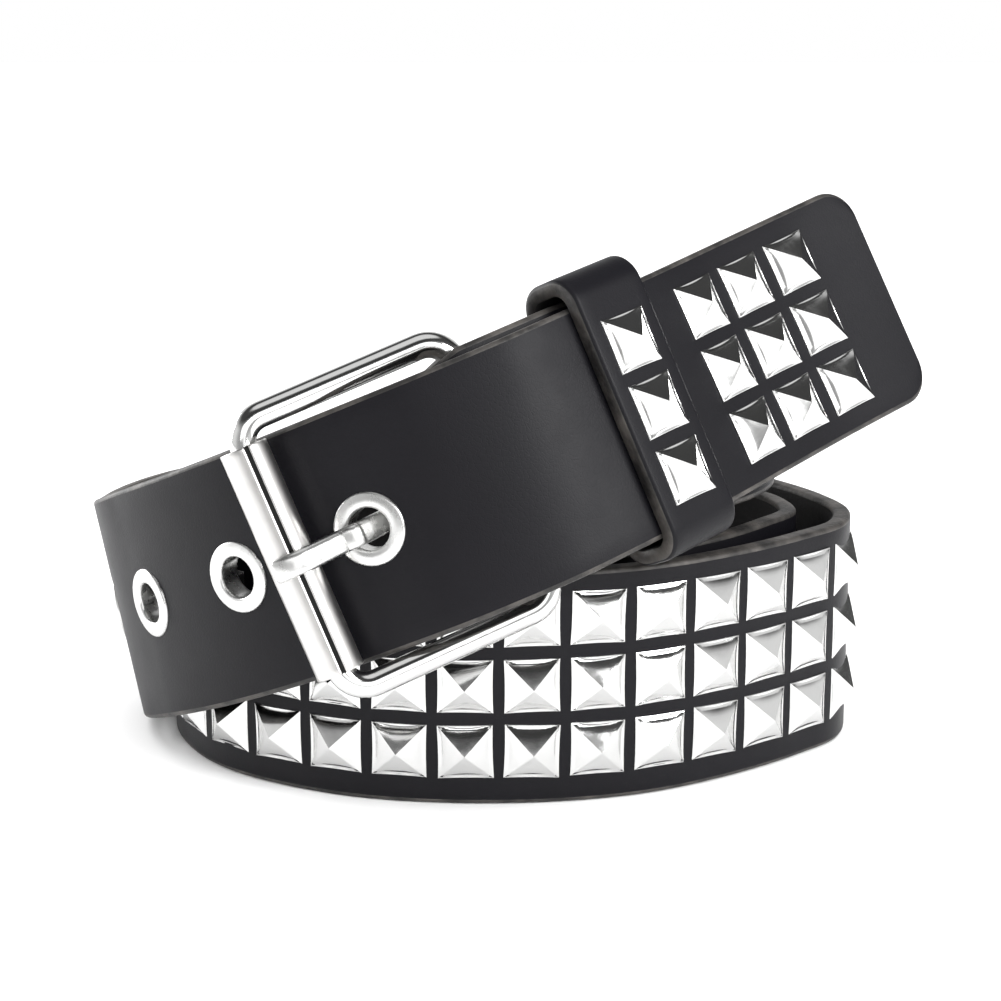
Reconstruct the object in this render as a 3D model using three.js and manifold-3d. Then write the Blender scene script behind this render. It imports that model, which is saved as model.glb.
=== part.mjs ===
// A buckled leather belt with pyramid studs, coiled and standing on its edge.
// Millimetres, +Z up. The origin is on the floor, under the middle of the belt.
import * as THREE from 'three';
import { mergeVertices } from 'three/addons/utils/BufferGeometryUtils.js';
import Module from 'manifold-3d';

// Driving dimensions, in millimetres and degrees
const CLEARANCE = 0.3; // between pieces that touch on the real belt
const STRAP_WIDTH = 38;
const STRAP_THICKNESS = 3;
const TIP_RADIUS = 7; // of the tip's two corners
const COIL_WIDTH = 112; // of the lower turn that shows at the front
const COIL_DEPTH = 85;
const NEST_GAP = 0.8; // between a stud's point and the back of the turn outside it

const STUD_SIZE = 8.9;
const STUD_PITCH = 10.3; // along the strap
const ROW_PITCH = 10.8; // across it
const FIELD_RISE = 0.6; // the field's middle row lies this far above the strap's middle
const STUD_RIM = 0.7; // height of the stud's upright edge
const STUD_RISE = 2.9; // from the leather to the stud's point
const STUD_ROWS = 3;

const TIP_TO_EYELET = 106.8; // from the tip to the eyelet that the prong is in
const EYELET_PITCH = 25;
const EYELET_COUNT = 6;
const EYELET_HOLE = 6.5;
const EYELET_FLANGE = 11.5;
const EYELET_WALL = 0.45;
const PATCH_INSET = 11.9; // from the tip to its first studs
const PATCH_COLUMNS = 3;
const PATCH_PITCH = 11.2; // along the tip
const EYELETS_TO_FIELD = 33.1; // plain leather after the last eyelet
const FIELD_TO_HEEL = 62; // plain leather between the last studs and the buckle

const WIRE = 4.1; // the buckle frame's wire
const FRAME_ROOM = 1; // from each edge of the strap to the frame
const FRAME_LENGTH = 39.2; // outer length, from the roller to the heel bar
const FRAME_CORNER = 6.5; // outer corner radius
const EYELET_TO_ROLLER = 12.1; // along the strap, from the first eyelet to the front bar
const ROLLER_DIAMETER = 7.5;
const ROLLER_END_ROOM = 1.5; // from each end of the roller to the frame
const ROLLER_GAP = 1.4; // between the roller and the strap under it
const ROLLER_DROP = 0.7; // the frame's roller end hangs this far below its heel end
const STACK_GAP = 0.8; // between the tip strap and the fixed strap behind it
const STRAP_SHIFT = 1.4; // the fixed strap lies this far above the tip strap at the buckle
const STRAP_DROP = 1.5; // and this far below it past the keeper
const FOLD_TAPER = 1.4; // the strap is this much narrower each side in the frame's corners
const TAIL_LENGTH = 9; // of the end folded back behind the heel bar
const SLOT_LENGTH = 17; // cut in the fold for the prong

const PRONG_WIDTH = 3.7;
const PRONG_THICKNESS = 2.3;
const PRONG_END = 6; // of the flattened end on the roller

const TIP_TO_KEEPER = 58.8;
const KEEPER_WIDTH = 14.3; // along the strap
const KEEPER_WALL = 2.5;
const KEEPER_ROOM = 0.5; // between the keeper and the straps in it
const KEEPER_REACH = 1.1; // space past the straps' edges

// What follows from them
const HALF_WIDTH = STRAP_WIDTH / 2;
const FRAME_WINDOW = STRAP_WIDTH + 2 * FRAME_ROOM;
const BAR_DISTANCE = FRAME_LENGTH - WIRE;
const TIP_TO_HEEL = TIP_TO_EYELET + EYELET_TO_ROLLER - BAR_DISTANCE;
const HALF_THICKNESS = STRAP_THICKNESS / 2;
const NEST_LAYER = STRAP_THICKNESS + STUD_RISE + NEST_GAP;
const PLAIN_STEP = 7.5; // longest straight stretch of plain leather in the model
const EYELET_SEAT = EYELET_FLANGE + 0.8; // flat stretch of leather under an eyelet
const KEEPER_SEAT = KEEPER_WIDTH + 1;
const KEEPER_CORNER = KEEPER_WALL + 2.3;
const ROUND_SIDES = 16;

// The strap's route, from its tip to the last stretch behind the buckle. Turn is the angle round
// the coil from its front, growing towards the left. Reach is the place as a share of the coil's
// half width and half depth, nest the number of layers inside that, lift the height of the lower
// edge as a share of the strap's width, and lean how far the outer face looks up.
const ROUTE = [
  { turn: -94.8, reach: 1.132, nest: 0, lift: 1.474, lean: 22 },
  { turn: -80.2, reach: 0.895, nest: 0, lift: 1.36, lean: 23.3 },
  { turn: -59.3, reach: 0.789, nest: 0, lift: 1.275, lean: 24.4 },
  { turn: -36, reach: 0.826, nest: 0, lift: 1.198, lean: 24 },
  { turn: -17.6, reach: 0.963, nest: 0, lift: 1.123, lean: 22 },
  { turn: -4, reach: 1.098, nest: 0, lift: 1.01, lean: 17.5 },
  { turn: 8, reach: 1.17, nest: 0, lift: 0.864, lean: 11.5 },
  { turn: 20.7, reach: 1.177, nest: 0, lift: 0.694, lean: 4 },
  { turn: 34.7, reach: 1.165, nest: 0, lift: 0.515, lean: -1 },
  { turn: 50, reach: 1.138, nest: 0, lift: 0.346, lean: -3.5 },
  { turn: 66.9, reach: 1.128, nest: 0, lift: 0.193, lean: -6 },
  { turn: 83.9, reach: 1.148, nest: 0, lift: 0.065, lean: -10.5 },
  { turn: 101, reach: 1.196, nest: 0, lift: 0, lean: -13.5 },
  { turn: 122, reach: 1.186, nest: 0, lift: 0, lean: -9.5 },
  { turn: 148, reach: 1.07, nest: 0, lift: 0, lean: -2 },
  { turn: 180, reach: 1, nest: 0, lift: 0, lean: 0 },
  { turn: 215, reach: 0.97, nest: 0, lift: 0, lean: 0 },
  { turn: 244, reach: 0.965, nest: 0, lift: 0, lean: 0 },
  { turn: 260, reach: 1.002, nest: 0, lift: 0, lean: 0 },
  { turn: 272, reach: 1.04, nest: 0, lift: 0, lean: 0 },
  { turn: 284, reach: 1.037, nest: 0, lift: 0, lean: 0 },
  { turn: 297, reach: 0.982, nest: 0, lift: 0, lean: 0 },
  { turn: 315, reach: 0.948, nest: 0, lift: 0, lean: 0 },
  { turn: 335, reach: 0.962, nest: 0, lift: 0, lean: 0 },
  { turn: 360, reach: 0.98, nest: 0, lift: 0, lean: 0 },
  { turn: 390, reach: 1.01, nest: 0, lift: 0, lean: 0 },
  { turn: 420, reach: 1.02, nest: 0, lift: 0, lean: 0 },
  { turn: 450, reach: 1.01, nest: 0, lift: 0, lean: 0 },
  { turn: 480, reach: 0.97, nest: 0.15, lift: 0, lean: 0 },
  { turn: 510, reach: 0.97, nest: 0.5, lift: 0, lean: 0 },
  { turn: 540, reach: 1, nest: 1.05, lift: 0, lean: 0 },
  { turn: 575, reach: 0.97, nest: 1.1, lift: 0, lean: 0 },
  { turn: 604, reach: 0.965, nest: 1.15, lift: 0, lean: 0 },
  { turn: 620, reach: 1.002, nest: 1.15, lift: 0, lean: 0 },
  { turn: 634, reach: 1.018, nest: 1.15, lift: 0, lean: 0 },
  { turn: 650, reach: 0.982, nest: 1.3, lift: 0, lean: 0 },
  { turn: 672, reach: 0.948, nest: 1.2, lift: 0, lean: 0 },
  { turn: 695, reach: 0.962, nest: 1.15, lift: 0, lean: 0 },
  { turn: 720, reach: 0.98, nest: 1.15, lift: 0, lean: 0 },
  { turn: 750, reach: 1.01, nest: 1.15, lift: 0, lean: 0 },
  { turn: 780, reach: 1.009, nest: 1.15, lift: 0, lean: 0 },
  { turn: 810, reach: 0.993, nest: 1.2, lift: 0, lean: 0 },
  { turn: 840, reach: 0.98, nest: 1.6, lift: 0.09, lean: 2 },
  { turn: 866, reach: 0.99, nest: 2.1, lift: 0.26, lean: 5 },
  { turn: 895, reach: 1, nest: 2.25, lift: 0.53, lean: 9 },
  { turn: 922, reach: 1, nest: 2.25, lift: 0.78, lean: 14 },
  { turn: 947, reach: 0.98, nest: 2.25, lift: 0.96, lean: 18 },
  { turn: 970, reach: 0.95, nest: 2.25, lift: 1.06, lean: 21 },
];
// Where the fixed strap has come to lie behind the tip strap, measured from the tip
const BEHIND_FROM = 41.4;

const LEATHER = { color: 0x1c1c1f, roughness: 0.55, metalness: 0 };
const NICKEL = { color: 0xd6d6d4, roughness: 0.2, metalness: 1 };
const SATIN = { color: 0xd8d7d3, roughness: 0.36, metalness: 1 };

const radians = THREE.MathUtils.degToRad;
const UP = new THREE.Vector3(0, 0, 1);

// Curves

// Runs a smooth curve through rows of numbers, which lie at growing places along it. Heights and
// leans, from column 2 on, don't swing past the rows.
function smoothThrough(places, rows) {
  const slope = (i, k) => {
    const before = Math.max(i - 1, 0);
    const after = Math.min(i + 1, rows.length - 1);
    if (before === i || after === i) {
      return (rows[after][k] - rows[before][k]) / (places[after] - places[before]);
    }
    const left = (rows[i][k] - rows[before][k]) / (places[i] - places[before]);
    const right = (rows[after][k] - rows[i][k]) / (places[after] - places[i]);
    const share = (places[i] - places[before]) / (places[after] - places[before]);
    const mean = left * (1 - share) + right * share;
    if (k < 2) {
      return mean;
    }
    const most = left * right > 0 ? 3 * Math.min(Math.abs(left), Math.abs(right)) : 0;
    return Math.sign(mean) * Math.min(Math.abs(mean), most);
  };
  return (place) => {
    let i = 0;
    while (i < rows.length - 2 && places[i + 1] < place) {
      i += 1;
    }
    const span = places[i + 1] - places[i];
    const f = (place - places[i]) / span;
    const rise = f * f * (3 - 2 * f);
    return rows[i].map((from, k) => {
      const leave = slope(i, k) * span * f * (1 - f) * (1 - f);
      const arrive = slope(i + 1, k) * span * f * f * (1 - f);
      return from + (rows[i + 1][k] - from) * rise + leave - arrive;
    });
  };
}

// Turns rows of x, y, z and lean into a path that is asked by its length from the first row
class Path {
  constructor(rows) {
    const places = [0];
    for (let i = 1; i < rows.length; i += 1) {
      const step = Math.hypot(...[0, 1, 2].map((k) => rows[i][k] - rows[i - 1][k]));
      places.push(places[i - 1] + step);
    }
    this.curve = smoothThrough(places, rows);
    this.fine = 1; // step of the length table
    this.end = places[places.length - 1];
    this.lengths = [0];
    let last = this.point(0);
    for (let place = this.fine; place <= this.end; place += this.fine) {
      const next = this.point(place);
      this.lengths.push(this.lengths[this.lengths.length - 1] + next.distanceTo(last));
      last = next;
    }
  }

  point(place) {
    const [x, y, z] = this.curve(place);
    return new THREE.Vector3(x, y, z);
  }

  get length() {
    return this.lengths[this.lengths.length - 1];
  }

  placeAt(length) {
    let i = 0;
    while (i < this.lengths.length - 2 && this.lengths[i + 1] < length) {
      i += 1;
    }
    const f = (length - this.lengths[i]) / (this.lengths[i + 1] - this.lengths[i]);
    return (i + f) * this.fine;
  }

  // The strap's cross-section at a length: its middle, width direction and outward direction
  section(length) {
    const place = this.placeAt(length);
    const near = 1;
    const along = this.point(place + near).sub(this.point(place - near)).normalize();
    const lean = this.curve(place)[3];
    const upward = UP.clone().addScaledVector(along, -along.z).normalize();
    const outward = upward.clone().cross(along);
    const across = upward.clone().multiplyScalar(Math.cos(lean));
    across.addScaledVector(outward, -Math.sin(lean));
    const out = outward.multiplyScalar(Math.cos(lean)).addScaledVector(upward, Math.sin(lean));
    return { middle: this.point(place), across, out };
  }
}

// Places a row of the route table in space, as x, y, z and lean
function routePoint({ turn, reach, nest, lift, lean }) {
  const angle = radians(turn);
  const tilt = radians(lean);
  const outline = new THREE.Vector2(-Math.sin(angle) * COIL_WIDTH, -Math.cos(angle) * COIL_DEPTH);
  const inward = new THREE.Vector2(Math.sin(angle) / COIL_WIDTH, Math.cos(angle) / COIL_DEPTH);
  const layers = nest * NEST_LAYER + (nest > 0 || lift === 0 ? HALF_THICKNESS : 0);
  outline.multiplyScalar(reach / 2).addScaledVector(inward.normalize(), layers);
  const edge = Math.max(lift, 0) * STRAP_WIDTH;
  const rise = HALF_WIDTH * Math.cos(tilt) + HALF_THICKNESS * Math.abs(Math.sin(tilt));
  return [outline.x, outline.y, edge + rise, tilt];
}

// Moves a section outward and across
function shifted(section, outward, acrossBy) {
  const middle = section.middle.clone();
  middle.addScaledVector(section.out, outward).addScaledVector(section.across, acrossBy);
  return { middle, across: section.across, out: section.out };
}

// The directions of a flat stretch of strap, which a stud, an eyelet or the keeper sits on
function seatDirections(route, { middle, span }) {
  const from = route.section(middle - span / 2);
  const to = route.section(middle + span / 2);
  const toTip = from.middle.clone().sub(to.middle).normalize();
  const out = from.out.clone().add(to.out);
  out.addScaledVector(toTip, -out.dot(toTip)).normalize();
  const centre = from.middle.clone().add(to.middle).multiplyScalar(0.5);
  return { toTip, out, across: out.clone().cross(toTip), centre };
}

// A place over a seat: X to the tip, Y across the strap, Z outward
function seatMatrix(route, seat, outward, acrossBy = 0) {
  const { toTip, out, across, centre } = seatDirections(route, seat);
  centre.addScaledVector(out, outward).addScaledVector(across, acrossBy);
  return new THREE.Matrix4().makeBasis(toTip, across, out).setPosition(centre);
}

// Solids

// Makes a geometry from triangles, each given by three points
function geometryOf(triangles) {
  const geometry = new THREE.BufferGeometry();
  const numbers = triangles.flatMap((corners) => corners.flatMap((p) => [p.x, p.y, p.z]));
  geometry.setAttribute('position', new THREE.Float32BufferAttribute(numbers, 3));
  return mergeVertices(geometry, 1e-4);
}

// Skins closed rings of points, joined in order, with flat ends or in a closed loop
function skin(rings, loop = false) {
  const triangles = [];
  const count = rings[0].length;
  const last = loop ? rings.length : rings.length - 1;
  for (let i = 0; i < last; i += 1) {
    const a = rings[i];
    const b = rings[(i + 1) % rings.length];
    for (let k = 0; k < count; k += 1) {
      const n = (k + 1) % count;
      triangles.push([a[k], a[n], b[n]], [a[k], b[n], b[k]]);
    }
  }
  if (!loop) {
    const end = rings[rings.length - 1];
    for (let k = 1; k < count - 1; k += 1) {
      triangles.push([rings[0][0], rings[0][k + 1], rings[0][k]], [end[0], end[k], end[k + 1]]);
    }
  }
  return geometryOf(triangles);
}

const wasm = await Module();
wasm.setup();

function solidOf(geometry) {
  const plain = geometry.clone();
  plain.deleteAttribute('normal');
  plain.deleteAttribute('uv');
  const merged = mergeVertices(plain, 1e-4);
  return new wasm.Manifold(new wasm.Mesh({
    numProp: 3,
    vertProperties: new Float32Array(merged.attributes.position.array),
    triVerts: new Uint32Array(merged.index.array),
  }));
}

// Cuts the tools out of a body
function cut(body, tools) {
  let solid = solidOf(body);
  for (const tool of tools) {
    solid = solid.subtract(solidOf(tool));
  }
  const { vertProperties, triVerts } = solid.getMesh();
  const geometry = new THREE.BufferGeometry();
  geometry.setAttribute('position', new THREE.BufferAttribute(vertProperties, 3));
  geometry.setIndex(new THREE.BufferAttribute(triVerts, 1));
  return geometry;
}

const belt = new THREE.Group();

function addPiece(name, geometry, finish, matrix = new THREE.Matrix4()) {
  const mesh = new THREE.Mesh(geometry, new THREE.MeshStandardMaterial(finish));
  mesh.name = name;
  matrix.decompose(mesh.position, mesh.quaternion, mesh.scale);
  belt.add(mesh);
}

// Routes

const frontRows = ROUTE.map(routePoint);
const tipPath = new Path(frontRows.slice(0, 16));
const STACK = STRAP_THICKNESS + STACK_GAP;

// The fixed strap's last rows, behind the tip strap
function behindRow(length, rise) {
  const section = shifted(tipPath.section(length), -STACK, rise);
  const { x, y, z } = section.middle;
  return [x, y, z, Math.asin(section.out.z)];
}

const keeperEnd = TIP_TO_KEEPER + KEEPER_SEAT / 2;
const behindRows = [
  behindRow(BEHIND_FROM, -STRAP_DROP),
  behindRow(TIP_TO_KEEPER - KEEPER_SEAT / 2, STRAP_SHIFT / 3),
  behindRow(keeperEnd, STRAP_SHIFT),
];
const path = new Path([...frontRows, ...behindRows]);

// Buckle places: the heel bar behind the tip strap, the roller in front of it
const heelDepth = HALF_THICKNESS + STACK_GAP + STRAP_THICKNESS + CLEARANCE + WIRE / 2;
const heelSection = shifted(tipPath.section(TIP_TO_HEEL), -heelDepth, STRAP_SHIFT / 2);
const rollerHeight = HALF_THICKNESS + ROLLER_GAP + ROLLER_DIAMETER / 2;

function rollerSection(length) {
  return shifted(tipPath.section(length), rollerHeight, STRAP_SHIFT / 2 - ROLLER_DROP);
}

// Finds where the roller crosses the strap, so that the frame keeps its length
function findRoller() {
  let near = TIP_TO_HEEL;
  let far = TIP_TO_HEEL + 2 * BAR_DISTANCE;
  for (let i = 0; i < 40; i += 1) {
    const middle = (near + far) / 2;
    if (rollerSection(middle).middle.distanceTo(heelSection.middle) < BAR_DISTANCE) {
      near = middle;
    } else {
      far = middle;
    }
  }
  return near;
}

const rollerLength = findRoller();
const rollerPlace = rollerSection(rollerLength);
const buckleAlong = heelSection.middle.clone().sub(rollerPlace.middle).normalize();
const buckleAcross = heelSection.across.clone().add(rollerPlace.across);
buckleAcross.addScaledVector(buckleAlong, -buckleAcross.dot(buckleAlong)).normalize();
const buckleOut = buckleAlong.clone().cross(buckleAcross);
// X from the roller to the heel bar, Y along the bars, Z outward, with the origin on the heel bar
const buckleMatrix = new THREE.Matrix4().makeBasis(buckleAlong, buckleAcross, buckleOut);
buckleMatrix.setPosition(heelSection.middle);

// Strap

// One stud as triangles on a cell with four corners, which it rises from
function studTriangles(corners, out) {
  const rim = corners.map((p) => p.clone().addScaledVector(out, STUD_RIM));
  const top = corners.reduce((sum, p) => sum.add(p), new THREE.Vector3()).multiplyScalar(1 / 4);
  top.addScaledVector(out, STUD_RISE);
  return corners.flatMap((corner, k) => {
    const n = (k + 1) % 4;
    return [[corner, corners[n], rim[n]], [corner, rim[n], rim[k]], [rim[k], rim[n], top]];
  });
}

// The outer face's points across the strap: only the edges, or the studs' edges as well
const studEdges = [];
for (let row = 0; row < STUD_ROWS; row += 1) {
  const middle = (row - (STUD_ROWS - 1) / 2) * ROW_PITCH + FIELD_RISE;
  studEdges.push(middle - STUD_SIZE / 2, middle + STUD_SIZE / 2);
}

function sectionPoints({ middle, across, out }, half, studded) {
  const at = (y, z) => middle.clone().addScaledVector(across, y).addScaledVector(out, z);
  const widths = studded ? [-half, ...studEdges, half] : [-half, half];
  const outer = widths.map((y) => at(y, HALF_THICKNESS));
  return { outer, inner: [at(-half, -HALF_THICKNESS), at(half, -HALF_THICKNESS)], widths, out };
}

// Joins the outer faces of two sections, whose points may differ in number
function stitch(a, b) {
  const triangles = [];
  let i = 0;
  let k = 0;
  while (i < a.outer.length - 1 || k < b.outer.length - 1) {
    const nextA = i < a.outer.length - 1 ? a.widths[i + 1] + a.widths[i] : Infinity;
    const nextB = k < b.outer.length - 1 ? b.widths[k + 1] + b.widths[k] : Infinity;
    if (nextA < nextB) {
      triangles.push([a.outer[i], a.outer[i + 1], b.outer[k]]);
      i += 1;
    } else {
      triangles.push([a.outer[i], b.outer[k + 1], b.outer[k]]);
      k += 1;
    }
  }
  return triangles;
}

// The half width near the tip, where two corners are round
function halfWidthAt(length) {
  const short = Math.max(TIP_RADIUS - length, 0);
  return HALF_WIDTH - TIP_RADIUS + Math.sqrt(TIP_RADIUS ** 2 - short ** 2);
}

// Lists the lengths of the strap's sections: flat seats, and even steps between them
function sectionLengths(seats, end) {
  const lengths = [];
  const corner = 4;
  for (let i = 0; i <= corner; i += 1) {
    lengths.push({ length: TIP_RADIUS * (1 - Math.cos((i / corner) * (Math.PI / 2))) });
  }
  for (const seat of [...seats, { middle: end, span: 0 }]) {
    const last = lengths[lengths.length - 1].length;
    const from = seat.middle - seat.span / 2;
    const steps = Math.max(1, Math.ceil((from - last) / PLAIN_STEP));
    for (let i = 1; i < steps; i += 1) {
      lengths.push({ length: last + (i * (from - last)) / steps });
    }
    if (seat.span > 0) {
      lengths.push({ length: from, seat, stud: seat.studded });
      lengths.push({ length: seat.middle + seat.span / 2, seat });
    } else {
      lengths.push({ length: from });
    }
  }
  return lengths;
}

// Evenly spaced flat seats along the strap
function seatRow(count, first, pitch, span, studded = false) {
  return Array.from({ length: count }, (_, i) => ({ middle: first + i * pitch, span, studded }));
}

const patchSeats = seatRow(PATCH_COLUMNS, PATCH_INSET + STUD_SIZE / 2, PATCH_PITCH, STUD_SIZE);
const keeperSeat = { middle: TIP_TO_KEEPER, span: KEEPER_SEAT };
const eyeletSeats = seatRow(EYELET_COUNT, TIP_TO_EYELET, EYELET_PITCH, EYELET_SEAT);
const fieldStart = eyeletSeats[EYELET_COUNT - 1].middle + EYELETS_TO_FIELD;
const fieldEnd = path.length + (TIP_TO_HEEL - keeperEnd) - FIELD_TO_HEEL;
const fieldColumns = Math.floor((fieldEnd - fieldStart) / STUD_PITCH);
const fieldSeats = seatRow(fieldColumns, fieldStart + STUD_SIZE / 2, STUD_PITCH, STUD_SIZE, true);

// The end of the fixed strap: straight to the heel bar, round it and back
function foldSections() {
  const last = path.section(path.length);
  const bend = WIRE / 2 + CLEARANCE + HALF_THICKNESS;
  const atBar = (along, height) => {
    const middle = heelSection.middle.clone().addScaledVector(buckleAcross, STRAP_SHIFT / 2);
    return middle.addScaledVector(buckleAlong, along).addScaledVector(buckleOut, height);
  };
  const sections = [];
  const start = { middle: atBar(0, bend), across: buckleAcross, out: buckleOut };
  sections.push({
    middle: last.middle.clone().lerp(start.middle, 0.5),
    across: last.across.clone().lerp(start.across, 0.5).normalize(),
    out: last.out.clone().lerp(start.out, 0.5).normalize(),
  });
  const steps = 8;
  for (let i = 0; i <= steps; i += 1) {
    const angle = (i / steps) * Math.PI;
    const out = buckleOut.clone().multiplyScalar(Math.cos(angle));
    out.addScaledVector(buckleAlong, -Math.sin(angle));
    const middle = atBar(-Math.sin(angle) * bend, Math.cos(angle) * bend);
    const half = HALF_WIDTH - FOLD_TAPER * Math.sin(angle);
    sections.push({ middle, across: buckleAcross, out, half });
  }
  const out = buckleOut.clone().negate();
  sections.push({ middle: atBar(TAIL_LENGTH, -bend), across: buckleAcross, out });
  return sections;
}

function strapGeometry() {
  const seats = [...patchSeats, keeperSeat, ...eyeletSeats, ...fieldSeats];
  const rings = sectionLengths(seats, path.length).map(({ length, seat, stud }) => {
    const section = path.section(length);
    if (seat) {
      Object.assign(section, seatDirections(path, seat));
    }
    return { ...sectionPoints(section, halfWidthAt(length), seat?.studded), stud };
  });
  for (const section of foldSections()) {
    rings.push(sectionPoints(section, section.half ?? HALF_WIDTH, false));
  }
  const triangles = [];
  for (let i = 0; i < rings.length - 1; i += 1) {
    const a = rings[i];
    const b = rings[i + 1];
    if (a.stud) {
      const out = a.out.clone().add(b.out).normalize();
      for (let k = 0; k < a.outer.length - 1; k += 1) {
        const cell = [a.outer[k], a.outer[k + 1], b.outer[k + 1], b.outer[k]];
        if (k % 2 === 1) {
          triangles.push(...studTriangles(cell, out));
        } else {
          triangles.push([cell[0], cell[1], cell[2]], [cell[0], cell[2], cell[3]]);
        }
      }
    } else {
      triangles.push(...stitch(a, b));
    }
    const [lowA, highA] = a.inner;
    const [lowB, highB] = b.inner;
    const topA = a.outer[a.outer.length - 1];
    const topB = b.outer[b.outer.length - 1];
    triangles.push([lowA, lowB, highB], [lowA, highB, highA]);
    triangles.push([a.outer[0], b.outer[0], lowB], [a.outer[0], lowB, lowA]);
    triangles.push([topA, highA, highB], [topA, highB, topB]);
  }
  const first = rings[0];
  const end = rings[rings.length - 1];
  triangles.push([first.outer[0], first.inner[0], first.inner[1]]);
  triangles.push([first.outer[0], first.inner[1], first.outer[1]]);
  triangles.push([end.outer[0], end.inner[1], end.inner[0]]);
  triangles.push([end.outer[0], end.outer[1], end.inner[1]]);
  return geometryOf(triangles);
}

// A cylinder that cuts an eyelet's hole
function holeTool(seat) {
  const radius = EYELET_HOLE / 2 + EYELET_WALL + CLEARANCE;
  const tool = new THREE.CylinderGeometry(radius, radius, 3 * STRAP_THICKNESS, ROUND_SIDES);
  tool.rotateX(Math.PI / 2);
  tool.applyMatrix4(seatMatrix(path, seat, 0));
  return tool;
}

// The slot in the fold, which the prong swings in
function slotTool() {
  const width = PRONG_WIDTH + 4 * CLEARANCE;
  const front = WIRE / 2 + CLEARANCE + STRAP_THICKNESS + STACK_GAP / 2;
  const back = 2 * front;
  const tool = new THREE.BoxGeometry(SLOT_LENGTH, width, front + back);
  tool.translate(0, 0, (front - back) / 2);
  tool.applyMatrix4(buckleMatrix);
  return tool;
}

const strapTools = [...eyeletSeats.map(holeTool), slotTool()];
addPiece('strap', cut(strapGeometry(), strapTools), LEATHER);

// Eyelets: a flange on the outer face, a barrel through the leather and a rim turned out behind
function eyeletGeometry() {
  const hole = EYELET_HOLE / 2;
  const barrel = hole + EYELET_WALL;
  const front = CLEARANCE;
  const back = -STRAP_THICKNESS - CLEARANCE;
  const profile = [
    [hole, back - EYELET_WALL],
    [EYELET_FLANGE / 2 - 1, back - EYELET_WALL],
    [EYELET_FLANGE / 2 - 1, back],
    [barrel, back],
    [barrel, front],
    [EYELET_FLANGE / 2, front],
    [EYELET_FLANGE / 2 - EYELET_WALL, front + EYELET_WALL],
    [hole + EYELET_WALL, front + 1.4 * EYELET_WALL],
    [hole, front + 0.7 * EYELET_WALL],
  ].map(([radius, height]) => new THREE.Vector2(radius, height));
  profile.push(profile[0].clone());
  const geometry = new THREE.LatheGeometry(profile, ROUND_SIDES);
  geometry.rotateX(Math.PI / 2);
  return geometry;
}

eyeletSeats.forEach((seat, i) => {
  addPiece(`eyelet_${i + 1}`, eyeletGeometry(), SATIN, seatMatrix(path, seat, HALF_THICKNESS));
});

// Loose studs, on the tip and on the keeper
function studGeometry() {
  const half = STUD_SIZE / 2;
  const corners = [[-half, -half], [half, -half], [half, half], [-half, half]];
  const base = corners.map(([x, y]) => new THREE.Vector3(x, y, 0));
  const out = new THREE.Vector3(0, 0, 1);
  const floor = [[base[0], base[2], base[1]], [base[0], base[3], base[2]]];
  return geometryOf([...studTriangles(base, out), ...floor]);
}

for (let row = 0; row < STUD_ROWS; row += 1) {
  const acrossBy = ((STUD_ROWS - 1) / 2 - row) * ROW_PITCH;
  patchSeats.forEach((seat, column) => {
    const place = seatMatrix(path, seat, HALF_THICKNESS + CLEARANCE, acrossBy);
    addPiece(`tip_stud_${row + 1}_${column + 1}`, studGeometry(), NICKEL, place);
  });
  const height = HALF_THICKNESS + KEEPER_ROOM + KEEPER_WALL + CLEARANCE;
  const place = seatMatrix(path, keeperSeat, height, acrossBy);
  addPiece(`keeper_stud_${row + 1}`, studGeometry(), NICKEL, place);
}

// Keeper: a leather loop round the tip strap and the fixed strap, with round ends
function roundedLoop(halfHeight, front, back, corner, turnSteps) {
  const points = [];
  const corners = [[halfHeight, front, 0], [halfHeight, back, 1], [-halfHeight, back, 2],
    [-halfHeight, front, 3]];
  for (const [y, z, quarter] of corners) {
    const centreY = y - Math.sign(y) * corner;
    const centreZ = z + (z === front ? -corner : corner);
    for (let i = 0; i <= turnSteps; i += 1) {
      const angle = Math.PI / 2 - (quarter + i / turnSteps) * (Math.PI / 2);
      points.push([centreY + corner * Math.cos(angle), centreZ + corner * Math.sin(angle)]);
    }
  }
  return points;
}

function keeperGeometry() {
  const inside = {
    half: HALF_WIDTH + STRAP_SHIFT / 2 + KEEPER_REACH,
    front: KEEPER_ROOM,
    back: -(STRAP_THICKNESS + STACK + KEEPER_ROOM),
  };
  const steps = 4;
  const corner = KEEPER_CORNER - KEEPER_WALL;
  const inner = roundedLoop(inside.half, inside.front, inside.back, corner, steps);
  const outer = roundedLoop(inside.half + KEEPER_WALL, inside.front + KEEPER_WALL,
    inside.back - KEEPER_WALL, KEEPER_CORNER, steps);
  const place = ([y, z], x) => new THREE.Vector3(x, y + STRAP_SHIFT / 2, z);
  const half = KEEPER_WIDTH / 2;
  const rings = outer.map((point, i) => {
    return [place(point, half), place(inner[i], half), place(inner[i], -half), place(point, -half)];
  });
  return skin(rings, true);
}

addPiece('keeper', keeperGeometry(), LEATHER, seatMatrix(path, keeperSeat, HALF_THICKNESS));

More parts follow.
